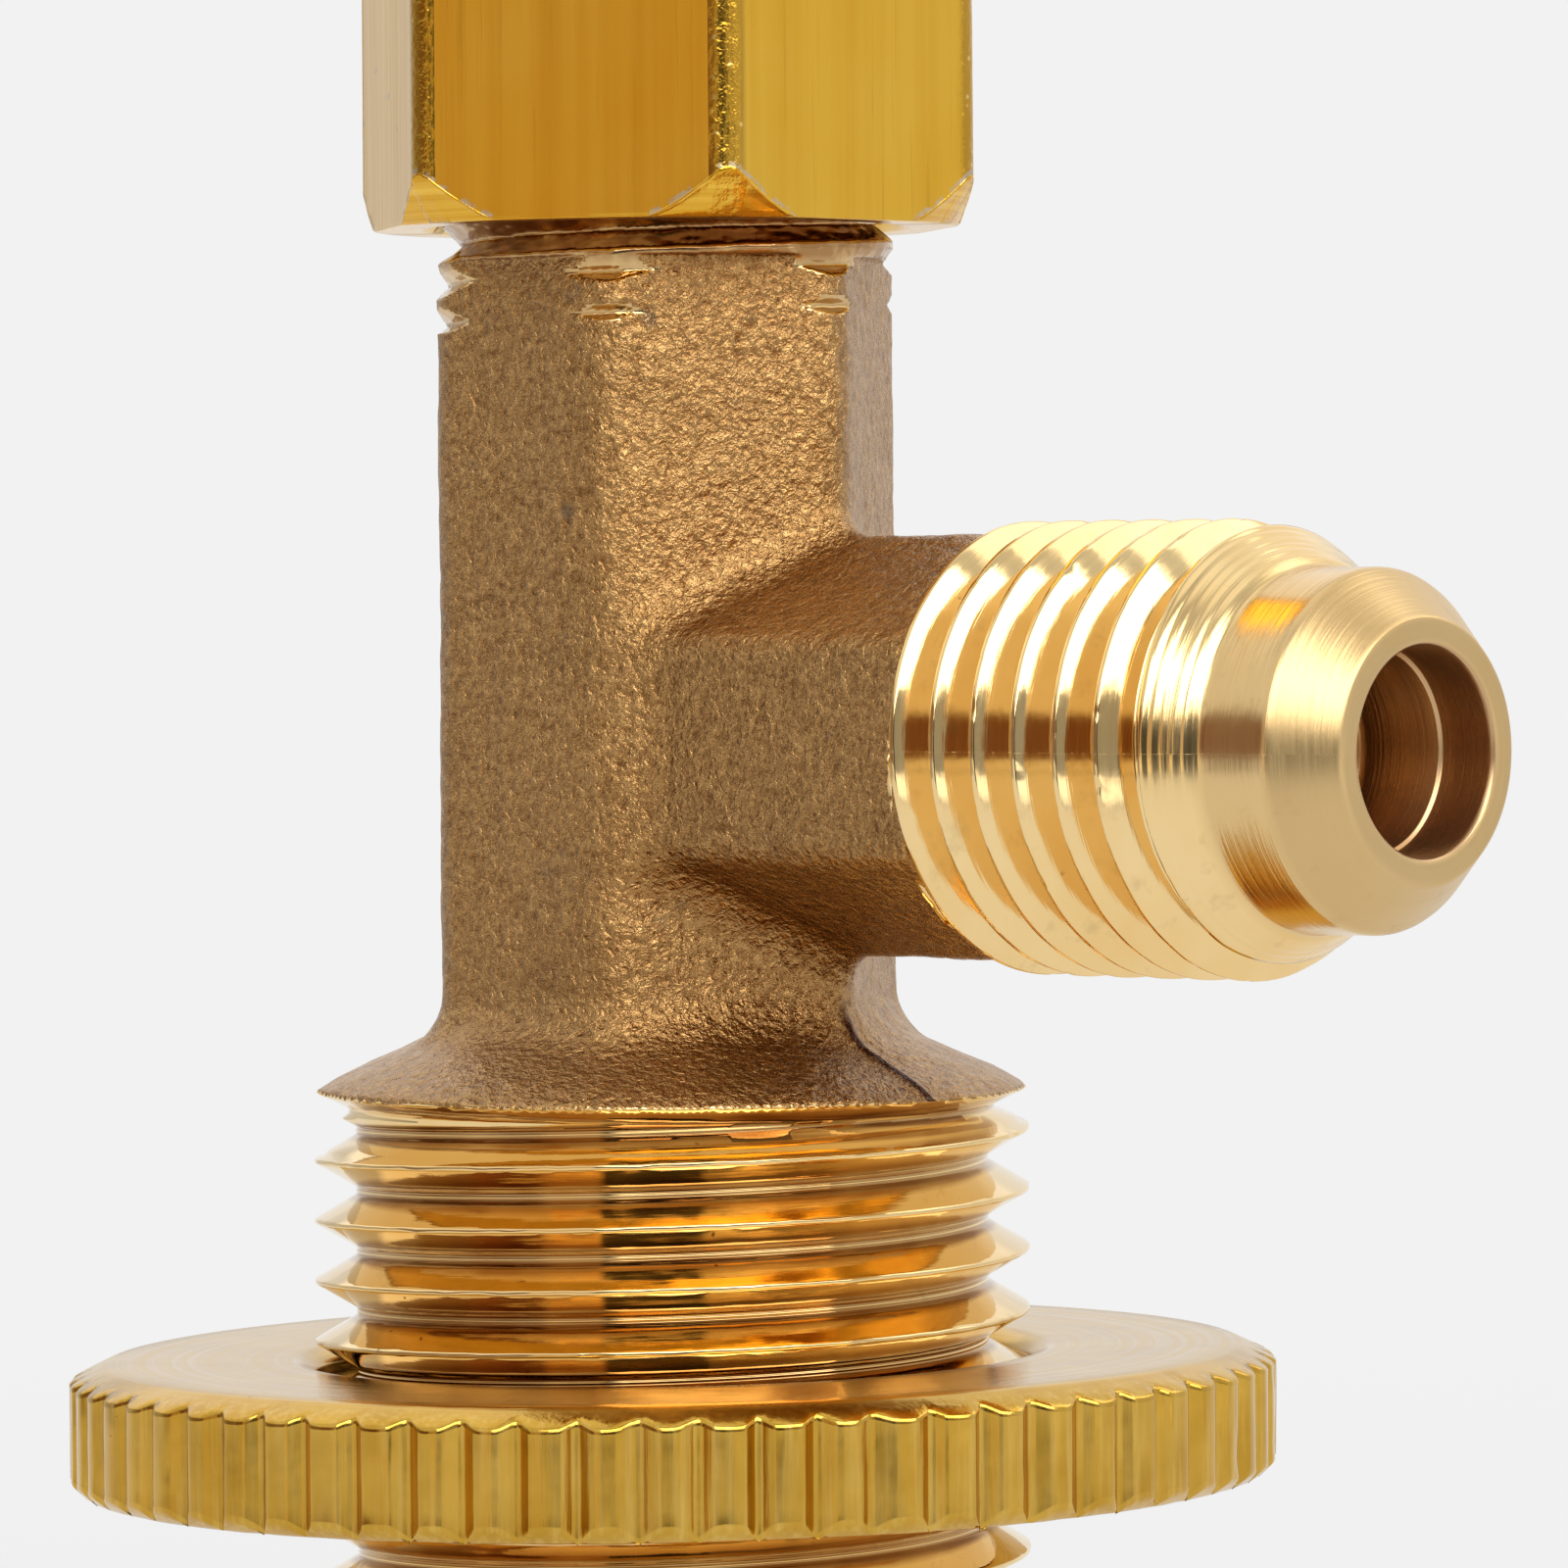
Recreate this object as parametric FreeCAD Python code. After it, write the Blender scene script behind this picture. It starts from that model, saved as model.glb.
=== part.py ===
# Refrigerant can tap: a forged brass tee body with a side flare port, a hexagonal
# bonnet on top, a screwed stem with a piercing needle and a cross bar, and a
# knurled lock disc on the lower thread.
# Millimetres. +Z is up along the stem, +X is along the flare port, and the origin is
# the centre of the flat end that screws onto the can. Threads are drawn as plain
# walls at their working diameter.
import FreeCAD, Part
import math
import os

from FreeCAD import Vector

X_AXIS = Vector(1, 0, 0)
Y_AXIS = Vector(0, 1, 0)
Z_AXIS = Vector(0, 0, 1)

# Base thread, M18 x 1.5, and the shoulder above it
base_thread_d = 17.8
base_pitch = 1.5
base_thread_depth = 0.92
base_end_chamfer = 0.8
shoulder_z = 18.45
shoulder_slope_deg = 24.0
relief_width = 0.9

# Can socket in the lower end, 7/16-28
socket_thread_d = 10.16
socket_thread_length = 5.4
socket_mouth_chamfer = 0.6
socket_relief_d = 11.0
gasket_thickness = 1.9
gasket_hole_d = 4.0
gasket_side_clearance = 0.08

# Forged column and the neck of the side port
column_flats = 10.4
column_corner_r = 1.2
column_top_z = 39.1
column_foot_chamfer = 0.55
neck_flats = 9.1
neck_corner_r = 0.9
neck_end_x = 11.75
neck_fillet = 1.0

# Flare port, 7/16-20 thread with a 45 degree flare nose
port_z = 27.0
flare_thread_d = 10.84
flare_thread_end_x = 19.6
nose_d = 8.54
nose_start_x = 21.4
port_end_x = 24.31
port_face_d = 6.2
port_bore_d = 4.92
port_bore_step_x = 22.76
port_bore_inner_d = 4.7

# Bonnet thread, M12 x 1, on the top of the body
bonnet_thread_d = 11.3
body_top_z = 47.0

# Stem bore, valve seat and needle passage
stem_bore_d = 6.9
seat_z = 21.0
needle_passage_d = 3.2
seat_land = 0.6

# Bonnet
bonnet_flats = 14.0
bonnet_corner_r = 0.9
bonnet_first_corner_deg = 25.35
bonnet_bottom_z = 39.8
bonnet_height = 13.2
bonnet_chamfer_face_d = 14.6
bonnet_chamfer_height = 1.65
thread_clearance = 0.03

# Stem, shown backed out as far as it goes
stem_travel = 7.5
stem_clearance = 0.1
stem_stop_gap = 0.1
stem_shaft_bottom_z = 30.5
stem_nose_d = 2.6
stem_thread_d = 5.9
stem_thread_top_z = 62.0
seal_groove_z = 41.2
seal_count = 2
seal_section = 1.04
seal_clearance = 0.03
hub_d = 9.0
hub_height = 10.0
hub_chamfer = 0.6

# Needle, pressed into the nose of the stem
needle_d = 2.2
needle_tip_z = 10.4
needle_tip_length = 2.6
needle_tip_flat_d = 0.2
needle_grip = 3.6

# Cross bar through the hub
bar_d = 5.0
bar_length = 52.0
bar_end_chamfer = 0.8

# Lock disc
disc_d = 30.1
disc_bottom_z = 8.7
disc_thickness = 3.17
disc_bore_clearance = 0.04
disc_bevel_width = 0.45
disc_bevel_height = 0.3
knurl_count = 66
knurl_depth = 0.34
knurl_width = 0.78

shoulder_rise = math.tan(math.radians(shoulder_slope_deg))
bonnet_top_z = bonnet_bottom_z + bonnet_height
socket_end_z = socket_mouth_chamfer + socket_thread_length
gasket_seat_z = socket_end_z + gasket_thickness + 2*gasket_side_clearance
stem_shaft_d = stem_bore_d - 2*stem_clearance
stem_shaft_top_z = body_top_z - stem_stop_gap
hub_z = stem_thread_top_z
bar_z = hub_z + hub_height/2


def turned(points, axis=Z_AXIS):
    """Solid of revolution about Z, or about X at the port's height, of (radius, station) points."""
    if axis == Z_AXIS:
        corners = [Vector(r, 0, s) for r, s in points]
        centre = Vector(0, 0, 0)
    else:
        corners = [Vector(s, 0, port_z + r) for r, s in points]
        centre = Vector(0, 0, port_z)
    face = Part.Face(Part.makePolygon(corners + corners[:1]))
    return face.revolve(centre, axis, 360)


def hexagon_bar(flats, corner_r, length, first_corner_deg=0.0):
    """Hexagonal bar up from the origin, with rounded long edges."""
    corner_distance = flats/2/math.cos(math.radians(30))
    turns = [math.radians(first_corner_deg + 60*k) for k in range(7)]
    outline = [Vector(corner_distance*math.cos(t), corner_distance*math.sin(t), 0) for t in turns]
    bar = Part.Face(Part.makePolygon(outline)).extrude(Vector(0, 0, length))
    long_edges = [e for e in bar.Edges if abs(e.tangentAt(e.FirstParameter).z) > 0.9]
    return bar.makeFillet(corner_r, long_edges)


def edges_between(shape, first, second):
    """Edges of a joined shape that run along both of the shapes it was made from."""
    found = []
    for edge in shape.Edges:
        middle = edge.valueAt((edge.FirstParameter + edge.LastParameter)/2)
        point = Part.Vertex(middle)
        near_first = min(f.distToShape(point)[0] for f in first.Faces)
        near_second = min(f.distToShape(point)[0] for f in second.Faces)
        if near_first < 1e-4 and near_second < 1e-4:
            found.append(edge)
    return found


def base_blank():
    """Threaded lower end with the relief and the sloping shoulder above it."""
    r = base_thread_d/2
    root = r - base_thread_depth
    return turned([
        (0, 0), (r - base_end_chamfer, 0), (r, base_end_chamfer),
        (r, shoulder_z - relief_width), (root, shoulder_z - relief_width),
        (root, shoulder_z - base_thread_depth/2), (r, shoulder_z),
        (0, shoulder_z + r*shoulder_rise)])


def forging():
    """Column, shoulder and port neck with their blends."""
    column_start = base_end_chamfer
    column = hexagon_bar(column_flats, column_corner_r, column_top_z - column_start)
    column.translate(Vector(0, 0, column_start))
    foot = base_blank()
    body = column.fuse(foot)
    body = body.makeChamfer(column_foot_chamfer, edges_between(body, column, foot))
    neck = hexagon_bar(neck_flats, neck_corner_r, neck_end_x + 0.5)
    neck.rotate(Vector(0, 0, 0), Y_AXIS, 90)
    neck.translate(Vector(0, 0, port_z))
    joined = body.fuse(neck)
    return joined.makeFillet(neck_fillet, edges_between(joined, body, neck))


def port_blank():
    """Threaded barrel, nose and flare of the side port."""
    r = flare_thread_d/2
    nose = nose_d/2
    face = port_face_d/2
    return turned([
        (0, neck_end_x), (r, neck_end_x), (r, flare_thread_end_x), (nose, nose_start_x),
        (nose, port_end_x - (nose - face)), (face, port_end_x), (0, port_end_x)], X_AXIS)


def valve_body():
    r = bonnet_thread_d/2
    top = turned([
        (0, column_top_z - 1), (r - 1, column_top_z - 1), (r, column_top_z),
        (r, body_top_z), (0, body_top_z)])
    body = forging().fuse([top, port_blank()])

    passage = needle_passage_d/2
    bore = stem_bore_d/2
    socket = socket_thread_d/2
    relief = socket_relief_d/2
    through = turned([
        (0, 0), (socket + socket_mouth_chamfer, 0), (socket, socket_mouth_chamfer),
        (socket, socket_end_z), (relief, socket_end_z), (relief, gasket_seat_z),
        (passage, gasket_seat_z),
        (passage, seat_z - seat_land), (passage + seat_land, seat_z),
        (bore, seat_z), (bore, body_top_z), (0, body_top_z)])
    port = turned([
        (0, 0), (port_bore_inner_d/2, 0), (port_bore_inner_d/2, port_bore_step_x),
        (port_bore_d/2, port_bore_step_x), (port_bore_d/2, port_end_x), (0, port_end_x)], X_AXIS)
    return body.cut([through, port]).removeSplitter()


def can_gasket():
    outer = socket_relief_d/2 - gasket_side_clearance
    ring = turned([
        (gasket_hole_d/2, gasket_seat_z - gasket_thickness), (outer, gasket_seat_z - gasket_thickness),
        (outer, gasket_seat_z), (gasket_hole_d/2, gasket_seat_z)])
    return ring


def bonnet():
    """Hexagonal bonnet with both ends turned down at the corners."""
    bar = hexagon_bar(bonnet_flats, bonnet_corner_r, bonnet_height, bonnet_first_corner_deg)
    bar.translate(Vector(0, 0, bonnet_bottom_z))
    face = bonnet_chamfer_face_d/2
    full = face + 1.0
    height = bonnet_chamfer_height
    envelope = turned([
        (0, bonnet_bottom_z), (face, bonnet_bottom_z), (full, bonnet_bottom_z + height),
        (full, bonnet_top_z - height), (face, bonnet_top_z), (0, bonnet_top_z)])
    body_bore = bonnet_thread_d/2 + thread_clearance
    stem_bore = stem_thread_d/2 + thread_clearance
    hole = turned([
        (0, bonnet_bottom_z), (body_bore, bonnet_bottom_z), (body_bore, body_top_z),
        (stem_bore, body_top_z), (stem_bore, bonnet_top_z), (0, bonnet_top_z)])
    return bar.common(envelope).cut(hole)


def stem():
    shaft = stem_shaft_d/2
    thread = stem_thread_d/2
    nose = stem_nose_d/2
    nose_z = stem_shaft_bottom_z - (shaft - nose)
    groove = stem_bore_d/2 - seal_section - 2*seal_clearance
    groove_top_z = seal_groove_z + seal_count*(seal_section + seal_clearance) + seal_clearance
    hub = hub_d/2
    hub_top_z = hub_z + hub_height
    solid = turned([
        (0, nose_z), (nose, nose_z), (shaft, stem_shaft_bottom_z), (shaft, seal_groove_z),
        (groove, seal_groove_z), (groove, groove_top_z), (shaft, groove_top_z),
        (shaft, stem_shaft_top_z), (thread, stem_shaft_top_z), (thread, hub_z),
        (hub - hub_chamfer, hub_z), (hub, hub_z + hub_chamfer), (hub, hub_top_z - hub_chamfer),
        (hub - hub_chamfer, hub_top_z), (0, hub_top_z)])
    bar_hole = Part.makeCylinder(bar_d/2, hub_d + 2, Vector(0, -hub_d/2 - 1, bar_z), Y_AXIS)
    needle_hole = Part.makeCylinder(needle_d/2, needle_grip, Vector(0, 0, nose_z), Z_AXIS)
    return solid.cut([bar_hole, needle_hole])


def seal(place):
    """Square rubber ring in the stem's groove, clear of the groove and of the bore."""
    outer = stem_bore_d/2 - seal_clearance
    low = seal_groove_z + seal_clearance + place*(seal_section + seal_clearance)
    return turned([
        (outer - seal_section, low), (outer, low),
        (outer, low + seal_section), (outer - seal_section, low + seal_section)])


def needle():
    top = stem_shaft_bottom_z - (stem_shaft_d - stem_nose_d)/2 + needle_grip
    return turned([
        (0, needle_tip_z), (needle_tip_flat_d/2, needle_tip_z),
        (needle_d/2, needle_tip_z + needle_tip_length), (needle_d/2, top), (0, top)])


def cross_bar():
    bar = Part.makeCylinder(bar_d/2, bar_length, Vector(0, -bar_length/2, bar_z), Y_AXIS)
    rims = [e for e in bar.Edges if abs(e.BoundBox.YMin - e.BoundBox.YMax) < 1e-6]
    return bar.makeChamfer(bar_end_chamfer, rims)


def on_circle(radius, turn):
    return Vector(radius*math.cos(turn), radius*math.sin(turn), 0)


def lock_disc():
    """Disc with bevelled faces and straight V grooves round its edge."""
    r = disc_d/2
    root = r - knurl_depth
    face = root - disc_bevel_width
    top_z = disc_bottom_z + disc_thickness
    half_groove = knurl_width/2/r
    outline = []
    for k in range(knurl_count):
        turn = 2*math.pi*k/knurl_count
        outline += [on_circle(r, turn - half_groove), on_circle(root, turn), on_circle(r, turn + half_groove)]
    knurled = Part.Face(Part.makePolygon(outline + outline[:1]))
    knurled = knurled.extrude(Vector(0, 0, disc_thickness - 2*disc_bevel_height))
    knurled.translate(Vector(0, 0, disc_bottom_z + disc_bevel_height))
    core = turned([
        (0, disc_bottom_z), (face, disc_bottom_z), (root - 0.05, disc_bottom_z + disc_bevel_height),
        (root - 0.05, top_z - disc_bevel_height), (face, top_z), (0, top_z)])
    bore_r = base_thread_d/2 + disc_bore_clearance
    bore = Part.makeCylinder(bore_r, disc_thickness, Vector(0, 0, disc_bottom_z), Z_AXIS)
    return knurled.fuse(core).cut(bore).removeSplitter()


parts = {
    "valve_body": valve_body(),
    "can_gasket": can_gasket(),
    "bonnet_nut": bonnet(),
    "lower_stem_seal": seal(0),
    "upper_stem_seal": seal(seal_count - 1),
    "valve_stem": stem(),
    "piercing_needle": needle(),
    "handle_bar": cross_bar(),
    "lock_disc": lock_disc(),
}

os.makedirs("parts", exist_ok=True)
for name, shape in parts.items():
    solids = shape.Solids
    if len(solids) != 1 or not shape.isValid():
        raise SystemExit(f"{name}: {len(solids)} solids, valid {shape.isValid()}")
    solids[0].exportStep(f"parts/{name}.step")
    print(f"{name}: {solids[0].Volume:.1f} mm3, {len(solids[0].Faces)} faces")
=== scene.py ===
import math

import bpy
import numpy as np
from mathutils import Matrix, Vector


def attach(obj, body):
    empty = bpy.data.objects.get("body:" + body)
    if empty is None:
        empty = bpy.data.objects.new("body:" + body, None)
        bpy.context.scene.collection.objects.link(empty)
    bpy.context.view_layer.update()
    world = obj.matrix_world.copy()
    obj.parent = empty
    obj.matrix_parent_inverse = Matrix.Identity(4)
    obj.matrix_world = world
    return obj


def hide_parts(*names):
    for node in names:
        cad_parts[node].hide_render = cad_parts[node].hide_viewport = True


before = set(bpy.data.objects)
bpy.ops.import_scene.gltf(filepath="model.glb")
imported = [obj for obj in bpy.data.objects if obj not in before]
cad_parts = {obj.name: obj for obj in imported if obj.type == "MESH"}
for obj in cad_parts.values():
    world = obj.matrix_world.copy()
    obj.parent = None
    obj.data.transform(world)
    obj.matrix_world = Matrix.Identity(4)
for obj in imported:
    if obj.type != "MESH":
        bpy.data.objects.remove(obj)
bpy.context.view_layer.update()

MM = 0.001
TAU = 2*math.pi

# Lengths are in millimetres here and in the mesh code, and turn to metres in add_mesh.
PORT_Z = 27.0
RIM_R, RIM_Z = 8.9, 18.45
# Half the width across flats and the corner radius of the forging's hexagons
COLUMN_HALF, COLUMN_CORNER, COLUMN_TOP = 5.2, 1.15, 39.0
NECK_HALF, NECK_CORNER, NECK_END = 4.55, 0.85, 12.14
SHOULDER_SLOPE = math.tan(math.radians(24))
# Height of one crest of each thread at polar angle 0, from the angle at which it was read
M18_PITCH, M12_PITCH, FLARE_PITCH = 1.5, 1.0, 1.27
M18_AT_ZERO = 17.055 + M18_PITCH*46.9/360
M12_READ_AT, M12_CREST = 136.9, 38.88
M12_AT_ZERO = M12_CREST + M12_READ_AT/360*M12_PITCH
FLARE_AT_ZERO = 12.54 - FLARE_PITCH/2
DISC_BOTTOM, DISC_TOP = 8.7, 11.87
# The disc sits a little askew in the play of its thread: rise per mm along X and Y
DISC_LEAN = (0.0065, 0.0118)
NUT_BOTTOM, NUT_TOP = 39.8, 53.0
# Polar angle of a corner in degrees, then where the chamfer starts and its fall per mm
NUT_CORNER, NUT_FACE_R, NUT_CHAMFER = 25.35, 7.3, 1.65

# The camera's side, and the backdrop's level
CAMERA_POLAR = math.radians(-46.0)
PALE = 0.887


# mesh helpers

def link_object(name, data):
    obj = bpy.data.objects.new(name, data)
    bpy.context.scene.collection.objects.link(obj)
    return obj


def add_mesh(name, points, faces, body, materials, node):
    """Smooth object from points in mm and a list of triangle and quad arrays. It stands for a node."""
    mesh = bpy.data.meshes.new(name)
    points = np.asarray(points, dtype=np.float64)*MM
    sizes = np.concatenate([np.full(len(f), f.shape[1]) for f in faces])
    loops = np.concatenate([f.ravel() for f in faces]).astype(np.int32)
    starts = np.concatenate([[0], np.cumsum(sizes)[:-1]]).astype(np.int32)
    mesh.vertices.add(len(points))
    mesh.vertices.foreach_set("co", points.astype(np.float32).ravel())
    mesh.loops.add(len(loops))
    mesh.loops.foreach_set("vertex_index", loops)
    mesh.polygons.add(len(sizes))
    mesh.polygons.foreach_set("loop_start", starts)
    mesh.polygons.foreach_set("loop_total", sizes.astype(np.int32))
    mesh.update(calc_edges=True)
    mesh.validate()
    mesh.polygons.foreach_set("use_smooth", np.full(len(mesh.polygons), True))
    mesh.update()
    for material in materials:
        mesh.materials.append(material)
    obj = link_object(name, mesh)
    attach(obj, body)
    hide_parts(node)
    return obj


def noise3(p, cell, seed):
    """Smooth value noise, -1 to 1, at points p (N, 3) in mm, from a seeded lattice."""
    n = 32
    lattice = np.random.default_rng(seed).random((n, n, n), dtype=np.float32)*2 - 1
    q = np.asarray(p, dtype=np.float32)/cell
    base = np.floor(q)
    f = q - base
    f = f*f*(3 - 2*f)
    i = base.astype(np.int64) % n
    j = (i + 1) % n
    out = 0
    for corner in np.ndindex(2, 2, 2):
        at = tuple((j if far else i)[:, m] for m, far in enumerate(corner))
        wx, wy, wz = (f[:, m] if far else 1 - f[:, m] for m, far in enumerate(corner))
        out = out + lattice[at]*wx*wy*wz
    return out


class Turned:
    """A closed body of rows round an axis. Rows may follow a screw thread."""

    def __init__(self, theta):
        self.theta = np.asarray(theta)
        self.r, self.s, self.partner = [], [], []

    def row(self, r, s):
        """One row at radius r and height s, each a number or one number for each column."""
        ones = np.ones_like(self.theta)
        self.partner.append(len(self.r))
        self.r.append(r*ones)
        self.s.append(s*ones)

    def rows(self, *pairs):
        for r, s in pairs:
            self.row(r, s)

    def between(self, start, end, shares):
        """Rows on the line from one (r, s) to another, at these shares of the way."""
        for f in shares:
            self.row(*(a + (b - a)*f for a, b in zip(start, end)))

    def thread(self, start, end, pitch, crest, steps, radius, down=False):
        """Rows that follow a right-hand helix, each at one of the steps in mm above a crest.
        radius(above, s) gives the profile. The last column joins the first one pitch on."""
        n = len(steps)
        turns = self.theta/TAU
        first = math.floor((start - crest)/pitch) - 1
        count = math.ceil((end - start)/pitch) + 3
        block_r, block_s = [], []
        for i in range(count*n):
            s = crest + (first + i//n)*pitch + steps[i % n] + pitch*turns
            s = np.clip(s, start, end)
            phase = (s - crest)/pitch - turns
            above = (phase - np.floor(phase))*pitch
            block_r.append(radius(above, s))
            block_s.append(s)
        total = len(block_r)
        offset = len(self.r)
        links = [min(i + n, total - 1) for i in range(total)]
        if down:
            block_r.reverse()
            block_s.reverse()
            links = [total - 1 - min(total - 1 - i + n, total - 1) for i in range(total)]
        self.r += block_r
        self.s += block_s
        self.partner += [offset + k for k in links]

    def build(self):
        """Points as (r, theta, s) and faces. Rows that meet share their points."""
        r, s = np.array(self.r), np.array(self.s)
        count, columns = r.shape
        same = (np.abs(np.diff(r, axis=0)) < 1e-7) & (np.abs(np.diff(s, axis=0)) < 1e-7)
        new = np.vstack([np.ones((1, columns), bool), ~same])
        ids = np.cumsum(new.T.ravel()).reshape(columns, count).T - 1
        theta = np.broadcast_to(self.theta, r.shape)
        flat = np.zeros((ids.max() + 1, 3))
        flat[ids[new]] = np.stack([r[new], theta[new], s[new]], 1)
        beside = np.hstack([ids[:, 1:], ids[np.array(self.partner), 0][:, None]])
        around = (ids, beside, np.roll(beside, -1, axis=0), np.roll(ids, -1, axis=0))
        return flat, split_degenerate(np.stack([corner.ravel() for corner in around], 1))


def split_degenerate(quads):
    """Quads whose corners fell together become triangles, or go."""
    eq = [quads[:, k] == quads[:, (k + 1) % 4] for k in range(4)]
    number = sum(e.astype(int) for e in eq)
    good = quads[(number == 0) & (quads[:, 0] != quads[:, 2]) & (quads[:, 1] != quads[:, 3])]
    tris = []
    for k in range(4):
        q = quads[(number == 1) & eq[k]]
        tris.append(np.delete(q, k, axis=1))
    tris = np.vstack(tris)
    distinct = (tris[:, 0] != tris[:, 1]) & (tris[:, 1] != tris[:, 2]) & (tris[:, 0] != tris[:, 2])
    return [good, tris[distinct]]


def outward(points, faces):
    """Turns the faces round if the closed body is inside out."""
    volume = 0
    for f in faces:
        p = points[f]
        for k in range(1, f.shape[1] - 1):
            volume += np.einsum("ij,ij->i", p[:, 0], np.cross(p[:, k], p[:, k + 1])).sum()
    return faces if volume > 0 else [f[:, ::-1] for f in faces]


def turned_mesh(name, turned, body, materials, node, bump=None, along_x=False, lean=(0, 0)):
    """Object from a Turned body. bump(points, r, s) gives what is added to r and to s."""
    flat, faces = turned.build()
    r, theta, s = flat.T
    if bump is not None:
        across = r*np.cos(theta), r*np.sin(theta)
        dr, ds = bump(np.stack([s, *across] if along_x else [*across, s], 1), r, s)
        r, s = r + dr, s + ds
    x, y = r*np.cos(theta), r*np.sin(theta)
    points = np.stack([s, x, PORT_Z + y] if along_x else [x, y, s + x*lean[0] + y*lean[1]], 1)
    return add_mesh(name, points, outward(points, faces), body, materials, node)


# thread shapes

def smooth_step(t):
    t = np.clip(t, 0, 1)
    return t*t*(3 - 2*t)


def soft(t, width=0.012):
    """0 below zero and t above it, with a small rounding between."""
    return 0.5*(t + np.hypot(t, width))


def root_depth(rooted, vertex, radius):
    """Depth of a hollow root of this radius in a 60 degree V, next to its middle."""
    return vertex - radius*2 + np.sqrt(np.clip(radius**2 - rooted**2, 0, None))


def m18_radius(above):
    """60 degree thread: narrow flat crest, straight flanks, small hollow root with a thin ridge."""
    near = np.minimum(above, M18_PITCH - above)
    rooted = M18_PITCH/2 - near
    drop = np.where(rooted < 0.13, root_depth(rooted, 1.212, 0.15), 1.732*soft(near - 0.05))
    return RIM_R + 0.01 - drop + 0.045*np.exp(-(rooted/0.025)**2)


M18_HALF = (0, 0.03, 0.05, 0.07, 0.12, 0.25, 0.45, 0.58, 0.62, 0.66, 0.70, 0.73)
M18_STEPS = M18_HALF + (0.75,) + tuple(M18_PITCH - v for v in M18_HALF[:0:-1])

# What is left of the flare thread towards the nose, turned down in a hollow curve
SHOULDER_X = (11.0, 19.2, 19.6, 19.9, 20.15, 20.4, 20.6, 20.8, 20.95, 21.1)
SHOULDER_R = (5.43, 5.43, 5.35, 5.15, 4.98, 4.81, 4.69, 4.56, 4.45, 4.31)


def flare_radius(above, s):
    """Narrow crest, then straight 60 degree flanks to a narrow root."""
    near = np.minimum(above, FLARE_PITCH - above)
    rooted = FLARE_PITCH/2 - near
    drop = 1.732*soft(near - 0.06)
    drop = np.minimum(drop, 0.77 + 0.05*np.sqrt(np.clip(1 - (rooted/0.13)**2, 0, None)))
    drop = drop*(1 - smooth_step((s - 19.9)/0.7))
    rings = 0.010*np.sin(s*TAU/0.21)*smooth_step((s - 19.7)/0.1)
    lead = 4.9 + np.clip(s - 11.72, 0, None)*3.2
    return np.minimum(np.minimum(5.43 - drop, np.interp(s, SHOULDER_X, SHOULDER_R) + rings), lead)


FLARE_HALF = (0, 0.04, 0.06, 0.08, 0.12, 0.18, 0.25, 0.32, 0.40, 0.48, 0.51, 0.55, 0.60)
FLARE_STEPS = FLARE_HALF + (0.635,) + tuple(FLARE_PITCH - v for v in FLARE_HALF[:0:-1])


def plain_radius(above, pitch, crest_r, depth, crest_half):
    """Flat crest and straight flanks down to a narrow root."""
    near = np.minimum(above, pitch - above)
    return crest_r - depth*np.clip((near - crest_half)/0.36, 0, 1)


PLAIN_STEPS = (0, 0.06, 0.16, 0.28, 0.4, 0.5, 0.6, 0.72, 0.84, 0.94)


# forged body

def hexagon_distance(x, y, half_flats, corner_r):
    """Signed distance to a hexagon with flats at +-y, corners rounded."""
    h = half_flats - corner_r
    x, y = np.abs(x), np.abs(y)
    kx, ky, kz = -0.8660254, 0.5, 0.57735027
    d = 2*np.minimum(kx*x + ky*y, 0)
    x = x - d*kx
    y = y - d*ky
    x = x - np.clip(x, -kz*h, kz*h)
    y = y - h
    return np.hypot(x, y)*np.sign(y) - corner_r


def round_union(a, b, r):
    u = np.maximum(r - a, 0)
    v = np.maximum(r - b, 0)
    return np.maximum(r, np.minimum(a, b)) - np.hypot(u, v)


def thread_distance(x, y, z):
    """Distance outside the thread at the top of the column, which runs out downwards."""
    x, y = x - 0.06, y - 0.06
    phase = (z - M12_CREST)/M12_PITCH - (np.arctan2(y, x) + math.radians(M12_READ_AT))/TAU
    above = (phase - np.floor(phase))*M12_PITCH
    root = np.interp(z, (37.4, 38.7, 39.2, 40.5), (5.50, 5.43, 5.14, 5.06))
    ragged = 0.03*noise3(np.stack([x, y, z*3], -1).reshape(-1, 3), 0.35, 6).reshape(x.shape)
    limit = root + ragged + 1.09*np.abs(above - M12_PITCH/2) + np.clip(37.3 - z, 0, None)*1.2
    return (np.hypot(x, y) - limit)*0.68


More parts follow.
